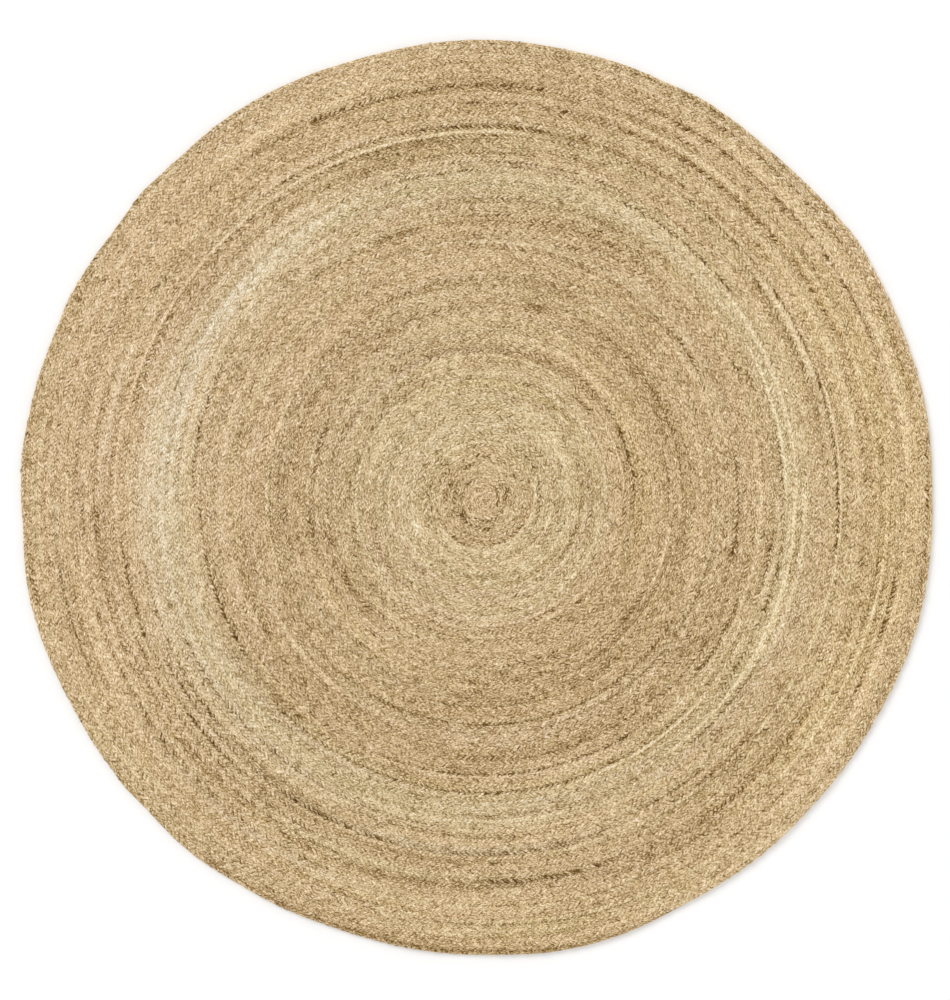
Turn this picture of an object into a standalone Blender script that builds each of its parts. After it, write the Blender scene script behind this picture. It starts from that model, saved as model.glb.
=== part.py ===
"""Round jute rug: one three-strand jute braid, wound in a flat spiral and sewn turn to turn.

Metres, +Z up. The rug lies flat on the surface z = 0, with its origin under the middle of its outline.
The braid winds outward counterclockwise, seen from above. A step is one equal part of a turn.
"""
import math

import bmesh
import bpy

# Braid
INNER_BRAID_WIDTH = 0.0142  # from seam to seam, in the tighter turns around the middle
OUTER_BRAID_WIDTH = 0.01492  # from seam to seam, in the turns further out
INNER_TURNS = 17.5  # how many turns are wound at the inner width
BRAID_THICKNESS = 0.0100  # from the floor to the crest of a turn
SEAM_HEIGHT = 0.0076  # from the floor to the sewn seam between two turns
START_ANGLE = 135  # degrees from +X, where the first seam leaves the middle

# Braid's outer end, which narrows and is sewn down against the turn inside it
WHOLE_TURNS = 50  # from the start angle round to it again
END_ANGLE = 300  # degrees from +X, where the braid ends after its whole turns
TAPER_ANGLE = 24  # degrees before the end over which the braid narrows
END_WIDTH_SHARE = 0.35  # width left at the end, as a share of the full width
END_THICKNESS = 0.0085  # from the floor to the crest at the very end

# Rim
RIM_HEIGHT = 0.0052  # height of the rim's widest line
RIM_UNDERCUT = 0.0018  # how far the rim draws in again where it meets the floor

# Unevenness, because the rug is wound by hand. Places are shares of the rim's radius.
EVEN_SHARE = 0.22  # inside this the turns are wound evenly
FULL_SHARE = 0.60  # from here the turns stand out as the table's middle column says
RIM_SHARE = 0.80  # from here they change to what the table says of the rim

# How far the turns stand out past an evenly wound braid, between the middle and the rim, and at the rim
UNEVEN_TURNS = (
    # angle, between, rim
    (0, -0.0130, -0.0040),
    (15, -0.0120, -0.0015),
    (30, -0.0095, 0.0005),
    (45, -0.0050, -0.0025),
    (60, 0.0005, 0.0010),
    (75, 0.0015, 0.0045),
    (90, 0.0015, 0.0090),
    (105, 0.0010, 0.0065),
    (120, 0.0005, 0.0090),
    (135, 0.0000, 0.0055),
    (150, -0.0005, 0.0060),
    (165, -0.0010, 0.0100),
    (180, -0.0020, 0.0105),
    (195, -0.0025, 0.0115),
    (210, -0.0030, 0.0055),
    (225, -0.0030, 0.0020),
    (240, -0.0030, -0.0030),
    (255, -0.0035, -0.0060),
    (270, -0.0040, -0.0040),
    (285, -0.0045, 0.0025),
    (300, -0.0050, 0.0005),
    (315, -0.0065, 0.0010),
    (330, -0.0085, -0.0015),
    (345, -0.0110, 0.0005),
)

# Finish
JUTE_COLOUR = (0.57, 0.42, 0.24, 1.0)
JUTE_ROUGHNESS = 0.9

# Mesh
STEPS_PER_TURN = 48
STEP_ANGLE = 360 / STEPS_PER_TURN
LAST_STEP = WHOLE_TURNS * STEPS_PER_TURN + round((END_ANGLE - START_ANGLE) / STEP_ANGLE)
TAPER_STEPS = TAPER_ANGLE / STEP_ANGLE


def wound_radius(step):
    """Distance from the spiral's middle to the seam at a step of the evenly wound braid."""
    turns = step / STEPS_PER_TURN
    inner_turns = min(turns, INNER_TURNS)
    return inner_turns * INNER_BRAID_WIDTH + (turns - inner_turns) * OUTER_BRAID_WIDTH


def taper(step):
    """Share of the way through the braid's tapered end, 0 before it and 1 at the very end."""
    return max(0.0, (step - LAST_STEP + TAPER_STEPS) / TAPER_STEPS)


def across(step, share):
    """Radius at a step, a share of the way across the braid from its inner seam to its outer side."""
    width = wound_radius(step + STEPS_PER_TURN) - wound_radius(step)
    width *= 1 - (1 - END_WIDTH_SHARE) * taper(step)
    return wound_radius(step) + share * width


def clamp(share):
    """A share held between 0 and 1."""
    return min(max(share, 0.0), 1.0)


def table_offsets(angle):
    """The table's two offsets at an angle, eased between its rows."""
    place = (angle % 360) / 360 * len(UNEVEN_TURNS)
    row = int(place)
    before = UNEVEN_TURNS[row]
    after = UNEVEN_TURNS[(row + 1) % len(UNEVEN_TURNS)]
    ease = (1 - math.cos(math.pi * (place - row))) / 2
    between = before[1] + (after[1] - before[1]) * ease
    rim = before[2] + (after[2] - before[2]) * ease
    return between, rim


def turn_offset(angle, radius):
    """How far a turn stands out at an angle and a wound radius."""
    share = radius / wound_radius(LAST_STEP + STEPS_PER_TURN / 2)
    grown = clamp((share - EVEN_SHARE) / (FULL_SHARE - EVEN_SHARE))
    at_rim = clamp((share - RIM_SHARE) / (1 - RIM_SHARE))
    between, rim = table_offsets(angle)
    return grown * (between + (rim - between) * at_rim)


def place(step, radius, height):
    """Point at a step and a wound radius, moved in or out with the uneven turns."""
    angle = START_ANGLE + step * STEP_ANGLE
    radius += turn_offset(angle, radius)
    turned = math.radians(angle)
    return (radius * math.cos(turned), radius * math.sin(turned), height)


def wind_rug(mesh):
    """One closed solid: a seam row and a crest row along the braid, the rim's side and a flat underside."""
    seams = []
    crests = []
    for step in range(LAST_STEP + 1):
        crest_height = BRAID_THICKNESS + (END_THICKNESS - BRAID_THICKNESS) * taper(step)
        seams.append(mesh.verts.new(place(step, across(step, 0), SEAM_HEIGHT)))
        crests.append(mesh.verts.new(place(step, across(step, 0.5), crest_height)))

    # The rim is the outer side of the last turn. It starts and closes at the braid's end.
    outer = list(seams)
    floor = [mesh.verts.new(place(LAST_STEP, across(LAST_STEP, 0) - RIM_UNDERCUT, 0))]
    for step in range(LAST_STEP + 1, LAST_STEP + STEPS_PER_TURN + 1):
        radius = across(step - STEPS_PER_TURN, 1)
        outer.append(mesh.verts.new(place(step, radius, RIM_HEIGHT)))
        floor.append(mesh.verts.new(place(step, radius - RIM_UNDERCUT, 0)))
    rim = outer[LAST_STEP:]

    # Middle: the first turn curls round its own blunt start.
    for step in range(1, STEPS_PER_TURN):
        mesh.faces.new((seams[0], seams[step], seams[step + 1]))
    mesh.faces.new((seams[0], seams[STEPS_PER_TURN], crests[0]))

    # Top: up from each seam to the crest, and down again to the next seam or to the rim.
    for step in range(LAST_STEP):
        mesh.faces.new((seams[step], crests[step], crests[step + 1], seams[step + 1]))
        beyond = step + STEPS_PER_TURN
        mesh.faces.new((crests[step], outer[beyond], outer[beyond + 1], crests[step + 1]))
    mesh.faces.new((seams[LAST_STEP], rim[-1], crests[LAST_STEP]))

    # Side, closed across the braid's end, and the flat underside.
    for here in range(len(rim)):
        beyond = (here + 1) % len(rim)
        mesh.faces.new((rim[here], floor[here], floor[beyond], rim[beyond]))
    mesh.faces.new(floor)


def centre_outline(mesh):
    """Moves the rug so that the middle of its outline is over the origin."""
    for axis in (0, 1):
        places = [corner.co[axis] for corner in mesh.verts]
        middle = (min(places) + max(places)) / 2
        for corner in mesh.verts:
            corner.co[axis] -= middle


def jute_material():
    """Plain undyed jute."""
    material = bpy.data.materials.new("jute")
    material.use_nodes = True
    surface = material.node_tree.nodes["Principled BSDF"]
    surface.inputs["Base Color"].default_value = JUTE_COLOUR
    surface.inputs["Roughness"].default_value = JUTE_ROUGHNESS
    surface.inputs["Metallic"].default_value = 0.0
    return material


def make_rug():
    """The rug as one named object at the origin."""
    mesh = bmesh.new()
    wind_rug(mesh)
    centre_outline(mesh)
    bmesh.ops.recalc_face_normals(mesh, faces=mesh.faces)
    surface = bpy.data.meshes.new("rug")
    mesh.to_mesh(surface)
    mesh.free()
    surface.materials.append(jute_material())
    surface.shade_smooth()
    surface.set_sharp_from_angle(angle=math.radians(40))
    rug = bpy.data.objects.new("rug", surface)
    bpy.context.scene.collection.objects.link(rug)


for old in list(bpy.data.objects):
    bpy.data.objects.remove(old)
make_rug()
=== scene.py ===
import math

import bpy
import numpy as np
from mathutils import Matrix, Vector


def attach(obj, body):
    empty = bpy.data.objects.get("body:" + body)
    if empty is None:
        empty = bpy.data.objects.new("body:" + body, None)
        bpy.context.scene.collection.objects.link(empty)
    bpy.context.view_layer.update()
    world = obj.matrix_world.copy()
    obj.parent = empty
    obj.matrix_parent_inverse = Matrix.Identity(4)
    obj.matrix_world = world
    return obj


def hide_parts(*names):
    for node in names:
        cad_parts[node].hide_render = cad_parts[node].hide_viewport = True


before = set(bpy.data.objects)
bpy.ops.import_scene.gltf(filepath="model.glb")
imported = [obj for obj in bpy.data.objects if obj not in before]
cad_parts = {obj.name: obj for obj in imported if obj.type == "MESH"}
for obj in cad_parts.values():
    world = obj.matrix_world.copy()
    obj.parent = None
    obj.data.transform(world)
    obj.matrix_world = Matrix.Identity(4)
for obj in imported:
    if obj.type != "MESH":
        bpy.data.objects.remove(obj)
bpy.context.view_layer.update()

# How the braid is wound, as the solid has it: metres, turns, and degrees counterclockwise from +X
winding = {
    "innerWidth": 0.0142,      # one turn from seam to seam, near the middle
    "outerWidth": 0.01492,     # one turn further out
    "innerTurns": 17.5,        # turns wound at the inner width
    "startAngle": 135,         # where the first seam leaves the middle
    "curl": 0.995,             # turns before that, with the braid's blunt start curled into the middle
    "wholeTurns": 50,
    "endAngle": 300,           # where the braid ends after its whole turns
    "taperAngle": 24,          # it narrows over these last degrees
    "endWidthShare": 0.12,     # width left at the end, where the braid is tucked against the turn inside it
    "endThicknessShare": 0.55,
    "evenShare": 0.22,         # inside this share of the rim's radius the turns are even
    "fullShare": 0.60,         # from here they stand out as the table's first column says
    "rimShare": 0.80,          # from here they change to what it says of the rim
    "wander": 0.00035,         # how far a seam strays in or out besides
    "wanderKnots": 18,         # in each turn
    "calmMiddle": 3,           # turns at the middle over which the seams come to stray
    "calmRim": 2,              # turns at the rim over which they settle again
    "rimBlend": 1 / 40,        # turns over which the last round becomes the rim
}

# How far the turns stand out past an evenly wound braid, between the middle and the rim and at the rim,
# every 15 degrees counterclockwise from +X
unevenTurns = np.array((
    # between, rim
    (-0.0130, -0.0040), (-0.0120, -0.0015), (-0.0095, 0.0005), (-0.0050, -0.0025), (0.0005, 0.0010),
    (0.0015, 0.0045), (0.0015, 0.0090), (0.0010, 0.0065), (0.0005, 0.0090), (0.0000, 0.0055),
    (-0.0005, 0.0060), (-0.0010, 0.0100), (-0.0020, 0.0105), (-0.0025, 0.0115), (-0.0030, 0.0055),
    (-0.0030, 0.0020), (-0.0030, -0.0030), (-0.0035, -0.0060), (-0.0040, -0.0040), (-0.0045, 0.0025),
    (-0.0050, 0.0005), (-0.0065, 0.0010), (-0.0085, -0.0015), (-0.0110, 0.0005),
))

# Small bumps and dents of the rim
rimBumps = (
    # angle, degrees around it, metres outward
    (3, 6, -0.0024), (24, 8, -0.0020), (35, 3, 0.0024), (50, 7, -0.0030), (62, 3, 0.0018), (67, 3, -0.0010),
    (85, 12, -0.0010), (106, 8, -0.0014), (119, 8, -0.0010), (132, 5, -0.0020), (138, 2, 0.0022),
    (144, 4, -0.0030), (154, 3, 0.0022), (160, 4, -0.0018), (174, 4, 0.0026), (184, 3, -0.0024),
    (192, 5, 0.0022), (219, 2, 0.0014), (223, 3, -0.0010), (231, 4, 0.0018), (250, 7, -0.0022),
    (270, 6, -0.0018), (283, 8, -0.0014), (295, 5, -0.0024), (301, 4, -0.0024), (317, 6, -0.0040),
    (330, 8, -0.0026), (350, 8, -0.0022),
)

# The plait of three strands. Each strand shows as a row of lobes that lean towards the middle line.
plait = {
    "thickness": 0.0100,
    "lobePitch": 0.00847,      # from lobe to lobe along one side
    "lean": 1.0,               # how far a lobe falls back for each metre towards the middle line
    "squareEnd": 0.03,         # the lobes lean less over this length, up to the braid's straight cut ends
    "evenEnd": 0.06,           # and keep their even places over this one
    "lobeLift": 0.055,         # random height of a lobe, as a share of the thickness
    "edgeLift": 0.6,           # how much of it a lobe has at its edge
    "lobeReach": 0.06,         # random reach of a lobe, as a share of the half width
    "leastReach": -0.04,       # and the least that it can be
    "lobeSlide": 0.10,         # random place of a lobe, as a share of the pitch
    "grooveLeast": 0.6,        # random depth of a groove, against the table below
    "grooveSpread": (1.5, 0.28),     # shape and scale of what is added to the least depth
    "grooveMost": 1.8,         # and the most that is
    "swell": 0.025,            # slow rise and fall of the braid, as a share of the thickness
    "swellLength": 0.10,
    "tilt": 0.05,              # slow tilt of the braid, as a share of the thickness
    "tiltLength": 0.07,
    "stretch": 0.0022,         # slow drift of the lobes along the braid
    "stretchLength": 0.06,
    "zigzag": 0.10,            # how far the lobe tips cross the middle line, as a share of the width
    "closerSeams": 0.03,       # how much higher the edges lie in the outer turns
    "closerTurns": (16, 26),   # they come to do so between these turns
    "slack": 1.5,              # the most that a lobe gives way to loose sewing
    "looseDraw": 0.4,          # how far the edge of a loose lobe draws in
    "looseSink": ((0.10, 0.45), (0.02, 0.33)),   # how far its edge and shoulder sink, and more in a groove
    "rimReach": 0.90,          # the last turn's outer lobes have no neighbour to press into
    "rimSink": (0.32, 0.08),   # how far their edge and shoulder sink
    "undersideReach": 0.72,    # half width of the flat underside, as a share of the half width
    "undersideGroove": 0.08,   # depth of the grooves there, as a share of the thickness
    "shadeHeight": 0.96,       # share of the thickness below which the jute is given painted shade
    "shadeRange": 0.60,        # and how far below that the painted shade is darkest
    "grooveShade": 0.16,       # painted shade added in a groove, past what its height gives
    "middleShade": 0.36,       # and the middle line
    "rimShade": 0.1,           # how much of the shade is left on the rim, where light reaches in
    "spotSpread": (1.4, 0.714),      # shape and scale of how unevenly the lobes show a streak
    "spotLobe": 0.5,           # how much of it a lobe shows
    "spotGroove": 2.0,         # and how much more a groove does
    "strandLength": 0.0105,    # of one lobe, from the edge to the middle line
    "strandWidth": 0.0060,
    "roundLength": 0.031,      # once round the braid's section
    "sharpness": 62,           # degrees between two faces, past which the edge is a crisp groove
}

# One lobe from groove to groove. Shift is along the braid as a share of the pitch, reach is how far
# the edge lies from the middle line as a share of the half width, and heights are shares of thickness.
lobeRows = np.array((
    # shift, reach, edge, shoulder, crest, middle
    (0.00, 1.01, 0.75, 0.81, 0.82, 0.79),    # groove
    (-0.08, 1.05, 0.82, 0.93, 0.97, 0.84),   # rise
    (0.00, 1.07, 0.85, 0.97, 1.00, 0.87),    # crest
    (0.06, 1.05, 0.82, 0.93, 0.96, 0.84),    # fall
))
rowsPerLobe = len(lobeRows)
halfColumns = (1.0, 0.80, 0.40, 0.0)         # edge, shoulder, crest and middle, as shares of the half width

# Round the braid's section a place is a number: 0 to 6 across the top from the inner edge to the outer,
# 7 to 9 back along the underside, and 10 is the inner edge again.
topColumns = 7
undersideColumns = 3
strandPlaces = (0, 0.20, 0.60, 1, 0.60, 0.20, 0, -0.85, -1.5, -0.85, 0)      # along a strand
bakePlaces = (0, 0.11, 0.22, 0.33, 0.44, 0.55, 0.66, 0.78, 0.85, 0.92, 1)    # across a strip of texture
topFaces = tuple(((0, k), (0, k + 1), (1, k + 1), (1, k)) for k in range(topColumns - 1))
lowFaces = (
    # rows ahead and place of each corner
    ((0, 7), (0, 8), (2, 8), (2, 7)),
    ((0, 8), (0, 9), (2, 9), (2, 8)),
    ((0, 6), (0, 7), (1, 6)),
    ((0, 7), (2, 7), (1, 6)),
    ((1, 6), (2, 7), (2, 6)),
    ((0, 10), (1, 10), (0, 9)),
    ((0, 9), (1, 10), (2, 9)),
    ((1, 10), (2, 10), (2, 9)),
)

# The mesh is made in lengths of braid, each up to one of these turns
lengthEnds = (9.0, 13.5, 17.0, 20.0, 22.6, 25.0, 27.2, 29.3, 31.2, 33.0, 39.6, 45.6)

# Each random draw has a seed of its own
seeds = {"pattern": 3, "wander": 5, "lobes": 7, "swell": 11, "tilt": 12, "stretch": 13, "dye": 21}

startShare = winding["startAngle"] / 360
lastTurn = winding["wholeTurns"] + winding["endAngle"] / 360


def slowWave(places, spacing, seed):
    # Smooth random swell, about 1 up or down, with a knot at each spacing
    at = np.maximum(places, 0) / spacing
    low = at.astype(int)
    knots = np.random.default_rng(seed).normal(0, 1, low.max() + 2)
    ease = (1 - np.cos(np.pi * (at - low))) / 2
    return knots[low] * (1 - ease) + knots[low + 1] * ease


def woundRadius(turns):
    wound = np.maximum(turns - startShare, 0)
    inner = np.minimum(wound, winding["innerTurns"])
    return inner * winding["innerWidth"] + (wound - inner) * winding["outerWidth"]


def acrossRadius(turns, share):
    # Share 0 is the braid's inner seam and 1 its outer side
    width = woundRadius(turns + 1) - woundRadius(turns)
    taperTurns = winding["taperAngle"] / 360
    taper = np.clip((turns - lastTurn + taperTurns) / taperTurns, 0, 1)
    return woundRadius(turns) + share * width * (1 - (1 - winding["endWidthShare"]) * taper)


def turnOffset(turns, radius):
    at = (turns % 1.0) * len(unevenTurns)
    row = at.astype(int) % len(unevenTurns)
    ease = ((1 - np.cos(np.pi * (at - np.floor(at)))) / 2)[..., None]
    offsets = unevenTurns[row] * (1 - ease) + unevenTurns[(row + 1) % len(unevenTurns)] * ease
    share = radius / woundRadius(lastTurn + 0.5)
    grown = np.clip((share - winding["evenShare"]) / (winding["fullShare"] - winding["evenShare"]), 0, 1)
    atRim = np.clip((share - winding["rimShare"]) / (1 - winding["rimShare"]), 0, 1)
    return grown * (offsets[..., 0] * (1 - atRim) + offsets[..., 1] * atRim)


def seamWander(turns):
    # None at the middle and none at the rim
    fade = np.clip(turns / winding["calmMiddle"], 0, 1)
    fade = fade * np.clip((lastTurn - turns) / winding["calmRim"], 0, 1)
    return winding["wander"] * fade * slowWave((turns + 1) * winding["wanderKnots"], 1.0, seeds["wander"])


def onLastRound(turns):
    return np.clip((turns - (lastTurn - 1)) / winding["rimBlend"], 0, 1)


def rimBump(turns):
    bump = np.zeros_like(turns)
    for angle, spread, outward in rimBumps:
        off = (turns * 360 - angle + 180) % 360 - 180
        bump = bump + outward * np.exp(-(off / spread) ** 2)
    return bump * onLastRound(turns)


def windRadius(turns, share):
    radius = acrossRadius(turns, share)
    return radius + turnOffset(turns, radius)


# The middle of the outline is over the origin
rimTurns = np.linspace(lastTurn - 1, lastTurn, 721)
rimX = windRadius(rimTurns, 1.0) * np.cos(2 * np.pi * rimTurns)
rimY = windRadius(rimTurns, 1.0) * np.sin(2 * np.pi * rimTurns)
middleX = (rimX.min() + rimX.max()) / 2
middleY = (rimY.min() + rimY.max()) / 2


def windPlace(turns, share):
    radius = windRadius(turns, share) + rimBump(turns) * share
    radius = radius + seamWander(turns) * (1 - share) + seamWander(turns + 1) * share
    return radius * np.cos(2 * np.pi * turns) - middleX, radius * np.sin(2 * np.pi * turns) - middleY


# Length along the braid's middle line, against turns
turnMarks = np.linspace(startShare - winding["curl"], lastTurn, 60001)
lineX, lineY = windPlace(turnMarks, 0.5)
lengthMarks = np.concatenate(([0.0], np.cumsum(np.hypot(np.diff(lineX), np.diff(lineY)))))
lobeCount = int(lengthMarks[-1] / plait["lobePitch"])
totalRows = lobeCount * rowsPerLobe
rowSpacing = lengthMarks[-1] / totalRows
rows = np.arange(totalRows + 1)
along = rows * rowSpacing
fromEnds = np.minimum(along, along[-1] - along)
leanRun = plait["lean"] * winding["outerWidth"] / 2 * np.clip(fromEnds / plait["squareEnd"], 0, 1)
rowTurns = np.interp(along, lengthMarks, turnMarks)
print("braid of", round(float(lengthMarks[-1]), 2), "m with", lobeCount, "lobes a side")


def arcWindow(turns, turn, start, end, ease):
    # 1 along an arc of one turn, easing to 0 over some degrees at its ends
    ends = np.minimum(turns - turn - start / 360, turn + end / 360 - turns)
    return np.clip(ends * 360 / ease + 0.5, 0, 1)


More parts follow.
